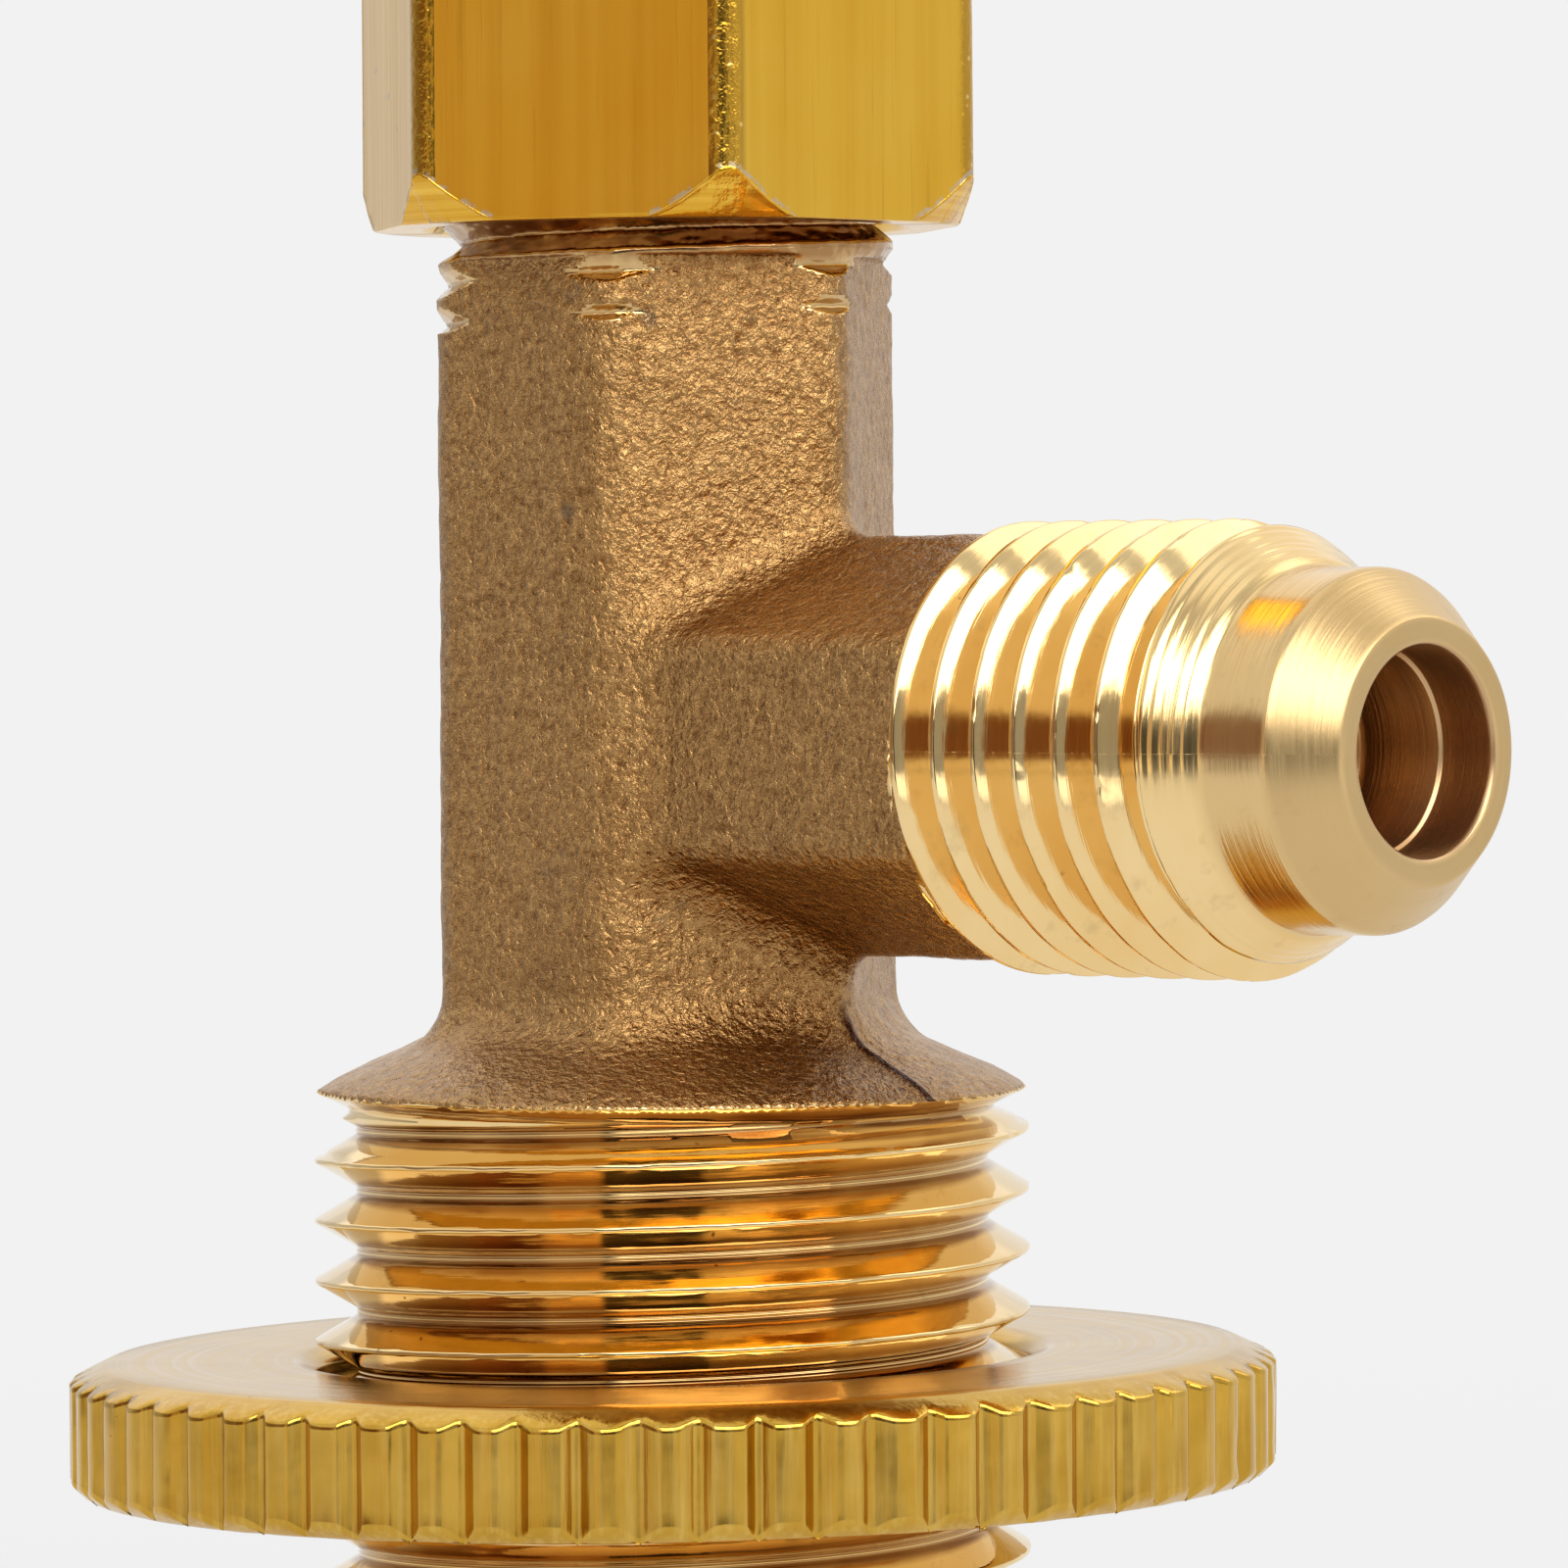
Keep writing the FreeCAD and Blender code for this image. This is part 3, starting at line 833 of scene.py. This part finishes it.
def machined_normal(n, lines, marks=0.0000015, wave=0.0000015):
    """Turning lines over a slight waviness, each with its depth in metres."""
    return n.bump(n.noise(n.object, 1400.0, 2.0), wave, 0.6, n.bump(lines, marks))


def painted_root_shade(n, shade, turn, s):
    """Painted shade: brown darkening in the root of the base thread, either side of its bright ridge,
    patchy in strength.
    """
    pitches = n.math("DIVIDE", n.minus(s, M18_AT_ZERO*MM), M18_PITCH*MM)
    phase = n.minus(pitches, n.math("DIVIDE", turn, TAU))
    rooted = n.math("ABSOLUTE", n.minus(n.math("FRACT", n.plus(phase, 20.0)), 0.5))
    inside = n.times(n.ramp(rooted, 0.17, 0.11), n.ramp(rooted, 0.012, 0.03))
    below_rim = n.math("LESS_THAN", s, RIM_Z*MM)
    patch = n.ramp(n.noise(n.object, 500.0, 2.0), 0.2, 0.6, 0.5, 0.8)
    return n.mix(n.times(inside, below_rim, patch), shade, (0.30, 0.13, 0.035))


def body_brass():
    """The body's turned parts. The thread under the bonnet is darkened with painted shade."""
    n = Surface("turned_brass")
    shade, rough, lines, stain = machined(n, (0.87, 0.64, 0.31), (0.83, 0.58, 0.25), 0.03, 0.06)
    turn, s = n.round_axis()[1:]
    # Painted shade in the roots of the base thread
    shade = painted_root_shade(n, shade, turn, s)
    # Painted shade on the thread under the bonnet, deeper next to the bonnet and patchy with the stain
    # noise; it is also rougher there
    top = n.plus(n.ramp(s, 36.8*MM, 37.2*MM, 0, 0.42), n.ramp(s, 38.75*MM, 39.0*MM, 0, 0.4))
    shade = n.mix(n.times(top, n.ramp(stain, 0.1, 0.5)), shade, (0.30, 0.13, 0.045))
    rough = n.plus(rough, n.times(top, 0.14))
    return n.finish(shade, rough, machined_normal(n, lines))


def port_brass():
    """The port, with coarser tool marks beyond its thread and a duller nose."""
    n = Surface("port_brass")
    light, dark = (0.90, 0.665, 0.325), (0.86, 0.59, 0.25)
    shade, rough, lines = machined(n, light, dark, 0.07, 0.13, True)[:3]
    x = n.xyz[0]
    rough = n.plus(rough, n.ramp(x, 19.7*MM, 20.6*MM, 0, 0.08))
    rough = n.plus(rough, n.ramp(x, 22.8*MM, 23.1*MM, 0, 0.15))
    lines = n.times(lines, n.ramp(x, 19.7*MM, 20.6*MM, 1.0, 3.6))
    shade = n.mix(n.ramp(x, 20.9*MM, 21.2*MM, 0, 0.4), shade, (0.56, 0.36, 0.16))
    shade = n.mix(n.ramp(x, 22.8*MM, 23.1*MM, 0, 0.4), shade, (0.50, 0.34, 0.15))
    return n.finish(shade, rough, machined_normal(n, lines, 0.000004, 0.000006))


def stem_brass():
    n = Surface("stem_brass")
    shade, rough, lines = machined(n, (0.89, 0.67, 0.32), (0.85, 0.60, 0.24), 0.05, 0.11)[:3]
    return n.finish(shade, rough, machined_normal(n, lines))


def bore_brass():
    n = Surface("bored_brass")
    lines = n.turning_marks(14000.0, 0.6, True)
    shade = n.mix(n.ramp(lines, 0.35, 0.7), (0.62, 0.41, 0.22), (0.50, 0.32, 0.16))
    return n.finish(shade, n.plus(n.times(lines, 0.15), 0.24), n.bump(lines, 0.00001))


def forged_brass():
    """Blasted skin: grains and pits, browner in the hollows, with faint stains."""
    n = Surface("forged_brass")
    coarse = n.noise(n.object, 2300.0, 2.0, 0.55, 0.6)
    grain = n.noise(n.object, 4600.0, 3.0, 0.62, 0.5)
    pits = n.ramp(n.cells(n.object, 3900.0), 0.0, 0.35, 0, 0.16)
    fine = n.noise(n.object, 11000.0, 2.0, 0.6)
    height = n.plus(n.plus(grain, n.times(coarse, 0.5)), n.plus(pits, n.times(fine, 0.22)))
    broad = n.noise(n.object, 330.0, 4.0, 0.6)
    stain = n.noise(n.object, 700.0, 3.0, 0.7)
    brown, gold, olive = (0.21, 0.088, 0.024), (0.53, 0.31, 0.117), (0.24, 0.135, 0.050)
    shade = n.mix(n.ramp(height, 0.62, 1.25), brown, gold)
    shade = n.mix(n.ramp(broad, 0.5, 0.8, 0, 0.4), shade, olive)
    shade = n.mix(n.ramp(stain, 0.64, 0.8, 0, 0.55), shade, (0.16, 0.12, 0.09))
    shade = n.mix(n.specks(n.object, 900.0, 0.25, 0.33, 0.6), shade, (0.09, 0.07, 0.055))
    # Dark brown along the parting line on the port's side of the shoulder
    x, y, z = n.xyz
    seam = n.times(n.ramp(n.math("ABSOLUTE", y), 0.20*MM, 0.10*MM), n.ramp(x, 4.6*MM, 4.9*MM),
                   n.ramp(z, 20.9*MM, 20.2*MM), n.ramp(broad, 0.2, 0.5))
    shade = n.mix(seam, shade, (0.08, 0.03, 0.01))
    return n.finish(shade, n.ramp(fine, 0.35, 0.7, 0.20, 0.31), n.bump(height, 0.00012))


def nut_chamfer(n, r, s):
    """The bonnet's lower chamfer, its feed lines, and the ragged lip that it left on the faces."""
    cone = n.minus(n.times(n.minus(r, NUT_FACE_R*MM), NUT_CHAMFER), n.minus(s, NUT_BOTTOM*MM))
    turned = n.times(n.ramp(cone, -0.06*MM, -0.03*MM), n.ramp(r, 7.28*MM, 7.34*MM))
    ragged = n.ramp(n.noise(n.object, 3000.0, 2.0, 0.6), 0.47, 0.55)
    lip = n.ramp(n.math("ABSOLUTE", n.plus(cone, 0.12*MM)), 0.09*MM, 0.05*MM)
    lip = n.times(lip, ragged, n.ramp(r, 7.26*MM, 7.3*MM))
    return turned, n.turning_marks(5200.0, 0.15), lip


def drawn_brass():
    """Hexagon bar: fine lines along the faces, rubbed corners and turned chamfers."""
    n = Surface("drawn_brass")
    stretched = n.scaled((1.0, 1.0, 0.02))
    lines = n.noise(stretched, 5200.0, 3.0, 0.65)
    streaks = n.noise(stretched, 1500.0, 2.0, 0.5)
    blotch = n.noise(n.object, 150.0, 3.0, 0.6)
    base, deep, pale = (0.80, 0.445, 0.04), (0.68, 0.34, 0.02), (0.82, 0.51, 0.07)
    shade = n.mix(n.ramp(blotch, 0.3, 0.7), base, pale)
    shade = n.mix(n.ramp(streaks, 0.42, 0.72, 0, 0.5), shade, deep)
    shade = n.mix(n.ramp(lines, 0.60, 0.72, 0, 0.3), shade, (0.40, 0.19, 0.02))
    shade = n.mix(n.specks(n.object, 1300.0, 0.16, 0.34, 0.7), shade, (0.30, 0.24, 0.18))
    # The corners are rubbed dull, with small bright nicks
    r, turn, s = n.round_axis()
    sixth = n.minus(n.math("DIVIDE", turn, TAU/6), NUT_CORNER/60 - 12.5)
    off = n.math("ABSOLUTE", n.minus(n.math("FRACT", sixth), 0.5))
    corner = n.ramp(off, 0.058, 0.040)
    nicks = n.ramp(n.cells(n.object, 2600.0), 0.2, 0.1, 0, 0.6)
    shade = n.mix(n.times(corner, 0.5), shade, (0.30, 0.15, 0.02))
    shade = n.mix(n.times(corner, nicks), shade, (0.95, 0.75, 0.30))
    turned, feed, lip = nut_chamfer(n, r, s)
    cut = n.mix(n.ramp(feed, 0.35, 0.7), (0.86, 0.52, 0.07), (0.66, 0.33, 0.02))
    shade = n.mix(turned, shade, cut)
    shade = n.mix(n.times(lip, 0.8), shade, (0.52, 0.43, 0.32))
    rough = n.plus(n.ramp(lines, 0.35, 0.7, 0.13, 0.23), n.times(corner, 0.06))
    rough = n.plus(rough, n.times(lip, 0.2))
    normal = n.bump(lines, 0.000006)
    normal = n.bump(n.times(turned, feed), 0.000008, 0.8, normal)
    normal = n.bump(n.noise(n.object, 500.0, 2.0), 0.000012, 0.5, normal)
    normal = n.bump(n.times(corner, n.noise(n.object, 3800.0, 2.0, 0.6)), 0.00006, 0.8, normal)
    return n.finish(shade, rough, normal)


def disc_brass():
    """Turned faces with rings, and a rim with scores across the knurl."""
    n = Surface("disc_brass")
    rim = n.ramp(n.round_axis()[0], 14.25*MM, 14.5*MM)
    rings = n.turning_marks(5000.0, 0.25)
    scores = n.noise(n.scaled((1.0, 1.0, 0.06)), 4200.0, 3.0, 0.65)
    marks = n.plus(n.times(rings, n.minus(1.0, rim)), n.times(scores, rim))
    blotch = n.noise(n.object, 420.0, 3.0, 0.6)
    base, deep, pale = (0.62, 0.37, 0.058), (0.52, 0.29, 0.035), (0.70, 0.46, 0.11)
    shade = n.mix(n.ramp(blotch, 0.35, 0.65), base, deep)
    shade = n.mix(n.ramp(marks, 0.45, 0.8), shade, pale)
    spots = n.specks(n.scaled((1.3, 0.8, 2.2)), 1900.0, 0.14, 0.30, 0.7)
    shade = n.mix(spots, shade, (0.14, 0.08, 0.03))
    normal = n.bump(marks, 0.00001)
    normal = n.bump(n.noise(n.object, 900.0, 2.0), 0.00001, 0.6, normal)
    return n.finish(shade, n.ramp(marks, 0.35, 0.7, 0.13, 0.23), normal)


def steel(name, color, rough=0.12):
    """Steel with scores along Y and lines round the stem's axis."""
    n = Surface(name)
    lines = n.turning_marks(7000.0, 0.4)
    scores = n.noise(n.scaled((1.0, 0.04, 1.0)), 5200.0, 3.0, 0.6)
    blotch = n.ramp(n.noise(n.object, 300.0, 3.0), 0.35, 0.7)
    shade = n.mix(blotch, color, tuple(c*0.86 for c in color))
    normal = n.bump(lines, 0.00001, 0.5, n.bump(scores, 0.00002))
    return n.finish(shade, n.plus(n.times(scores, 0.12), rough), normal)


def rubber(name, color):
    n = Surface(name)
    mould = n.noise(n.object, 2600.0, 3.0, 0.6)
    shade = n.mix(n.ramp(mould, 0.35, 0.7), color, tuple(c*1.7 for c in color))
    return n.finish(shade, n.plus(n.times(mould, 0.2), 0.55), n.bump(mould, 0.00003), metallic=0.0)


# object

turned_brass = body_brass()
make_forging(forged_brass(), turned_brass)
make_base(turned_brass)
make_socket(turned_brass)
make_port(port_brass(), bore_brass())
make_top_thread(turned_brass)
make_nut(drawn_brass())
make_disc(disc_brass())
make_stem(stem_brass())
make_bar(steel("plated_bar", (0.62, 0.63, 0.65)))

dressed = {
    "can_gasket": rubber("gasket", (0.025, 0.025, 0.027)),
    "lower_stem_seal": rubber("seal", (0.03, 0.03, 0.03)),
    "upper_stem_seal": rubber("seal_upper", (0.032, 0.032, 0.03)),
    "piercing_needle": steel("ground_steel", (0.55, 0.55, 0.57), 0.18),
}
for node, material in dressed.items():
    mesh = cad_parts[node].data
    mesh.materials.clear()
    mesh.materials.append(material)


# stage, light, camera

def make_floor():
    """Round floor that takes shadow near the object and has the backdrop's colour at its edge."""
    edge, corners = 0.145, 180
    mesh = bpy.data.meshes.new("floor")
    turns = [k/corners*TAU for k in range(corners)]
    rim = [(edge*math.cos(turn), edge*math.sin(turn), 0) for turn in turns]
    mesh.from_pydata(rim, [], [tuple(range(corners))])
    material = bpy.data.materials.new("floor")
    n = Tree(material)
    matt = n.new("ShaderNodeBsdfDiffuse", {"Color": 0.66}).outputs[0]
    glow = n.new("ShaderNodeEmission", {"Color": PALE}).outputs[0]
    place = n.new("ShaderNodeTexCoord").outputs["Object"]
    away = n.new("ShaderNodeVectorMath", {0: place}, operation="LENGTH").outputs["Value"]
    camera_ray, mirrored = n.views()
    pale = n.times(n.math("MAXIMUM", camera_ray, mirrored), n.ramp(away, 0.06, 0.135, 0.76, 1.0))
    mix = n.new("ShaderNodeMixShader", {0: pale, 1: matt, 2: glow})
    n.new("ShaderNodeOutputMaterial", {"Surface": mix.outputs[0]})
    mesh.materials.append(material)
    floor = link_object("floor", mesh)


def make_world():
    """Plain pale backdrop for the camera and for reflections behind the object. On the near
    side reflections see the darker room and the soft boxes beside the camera."""
    world = bpy.data.worlds.new("studio")
    bpy.context.scene.world = world
    n = Tree(world)
    direction = n.new("ShaderNodeTexCoord").outputs["Generated"]
    x, y, z = n.new("ShaderNodeSeparateXYZ", {0: direction}).outputs
    c, s = math.cos(CAMERA_POLAR), math.sin(CAMERA_POLAR)
    ahead = n.plus(n.times(x, c), n.times(y, s))
    side = n.minus(n.times(y, c), n.times(x, s))
    turn = n.plus(n.math("DIVIDE", n.math("ARCTAN2", side, ahead), TAU), 0.5)

    def around(stops):
        """Colour by degrees round from the camera's side."""
        return n.stops(turn, [(0.5 + degrees/360, level) for degrees, level in stops])

    def rise(low, high):
        """0 at one elevation in degrees and 1 at another."""
        return n.ramp(z, math.sin(math.radians(low)), math.sin(math.radians(high)))

    far = [(-180, PALE), (-168, 0.8), (-158, 0.66), (-135, 0.62), (-118, 0.5)]
    near_right = [(105, 0.75), (130, 0.85), (150, 0.95), (168, 0.9), (180, PALE)]
    horizon = around(far + [
        (-104, (0.34, 0.27, 0.20)), (-86, (0.27, 0.19, 0.14)), (-74, (0.29, 0.155, 0.10)),
        (-60, (0.17, 0.075, 0.045)), (-50, (0.25, 0.15, 0.10)), (-46, (0.62, 0.47, 0.33)),
        (-27, (0.66, 0.52, 0.36)), (-24, 0.09), (0, 0.05), (12, 0.07), (14, 0.30), (24, 0.34), (42, 0.38),
        (50, 0.50), (60, 0.60), (74, 0.80)] + near_right)
    table = around(far + [
        (-103, 0.36), (-86, 0.42), (-70, 0.84), (-58, 0.92), (-47, 0.95), (-44, (1.25, 1.05, 0.70)),
        (-27, (1.25, 1.05, 0.70)), (-24, 0.12), (0, 0.08), (10, 0.12), (14, 1.0), (26, 1.6), (38, 1.7),
        (40, 1.5), (58, 1.7), (68, 1.6), (72, 0.84)] + near_right)
    upper = around([
        (-180, 1.15), (-135, 1.2), (-115, 1.1), (-95, 0.85), (-75, 0.95), (-45, 0.9), (-20, 0.55),
        (60, 0.55), (85, 0.7), (130, 0.95), (180, 1.15)])
    lower = around([(-180, PALE), (-120, 0.64), (-60, 0.50), (60, 0.62), (120, 0.78), (180, PALE)])
    overhead = 1.1
    studio = n.mix(rise(17, 21), horizon, upper)
    studio = n.mix(rise(70, 80), studio, overhead)
    studio = n.mix(rise(-3.0, -3.6), studio, table)
    studio = n.mix(rise(-8, -11), studio, lower)

    camera_ray, mirrored = n.views()
    behind = n.math("GREATER_THAN", n.math("ABSOLUTE", n.minus(turn, 0.5)), 168/360)
    level = n.math("LESS_THAN", n.math("ABSOLUTE", z), math.sin(math.radians(18)))
    backdrop = n.math("MAXIMUM", camera_ray, n.times(mirrored, behind, level))
    background = n.new("ShaderNodeBackground", {"Color": n.mix(backdrop, studio, PALE)})
    n.new("ShaderNodeOutputWorld", {"Surface": background.outputs[0]})


def make_lamp(name, polar, elevation, size, watts):
    """Soft box aimed at the object from half a metre away, its size in metres."""
    lamp = bpy.data.lights.new(name, "AREA")
    lamp.shape = "RECTANGLE"
    lamp.size, lamp.size_y = size
    lamp.energy = watts
    obj = link_object(name, lamp)
    a, e = math.radians(polar), math.radians(elevation)
    target = Vector((0.003, 0, 0.03))
    obj.location = target + 0.5*Vector((math.cos(a)*math.cos(e), math.sin(a)*math.cos(e), math.sin(e)))
    obj.rotation_euler = (target - obj.location).to_track_quat("-Z", "Y").to_euler()


def make_camera():
    """The photograph's viewpoint: distance, turn, height, roll and focal length were fitted to it."""
    a, e, roll = math.radians(44.168), math.radians(7.046), math.radians(-0.388)
    distance, lift, aside, height = 217.436, 4.262, 2.863, 21.713
    focal_pixels, frame_pixels = 8836.342, 1600
    place = Vector((distance*math.cos(e)*math.sin(a), -distance*math.cos(e)*math.cos(a),
                    distance*math.sin(e) + lift))*MM
    target = Vector((aside*math.cos(a), aside*math.sin(a), height + lift))*MM
    forward = (target - place).normalized()
    right = forward.cross(Vector((0, 0, 1))).normalized()
    up = right.cross(forward)
    right, up = right*math.cos(roll) + up*math.sin(roll), up*math.cos(roll) - right*math.sin(roll)
    data = bpy.data.cameras.new("camera")
    data.sensor_width = 36
    data.lens = data.sensor_width*focal_pixels/frame_pixels
    data.clip_start, data.clip_end = 0.005, 50
    camera = link_object("camera", data)
    camera.matrix_world = Matrix((
        (right.x, up.x, -forward.x, place.x), (right.y, up.y, -forward.y, place.y),
        (right.z, up.z, -forward.z, place.z), (0, 0, 0, 1)))
    bpy.context.scene.camera = camera


make_floor()
make_world()
make_lamp("key", -26, 37, (0.80, 0.33), 3.0)
make_lamp("fill", 60, 42, (0.30, 0.30), 0.3)
make_camera()
bpy.context.scene.view_settings.view_transform = "Standard"
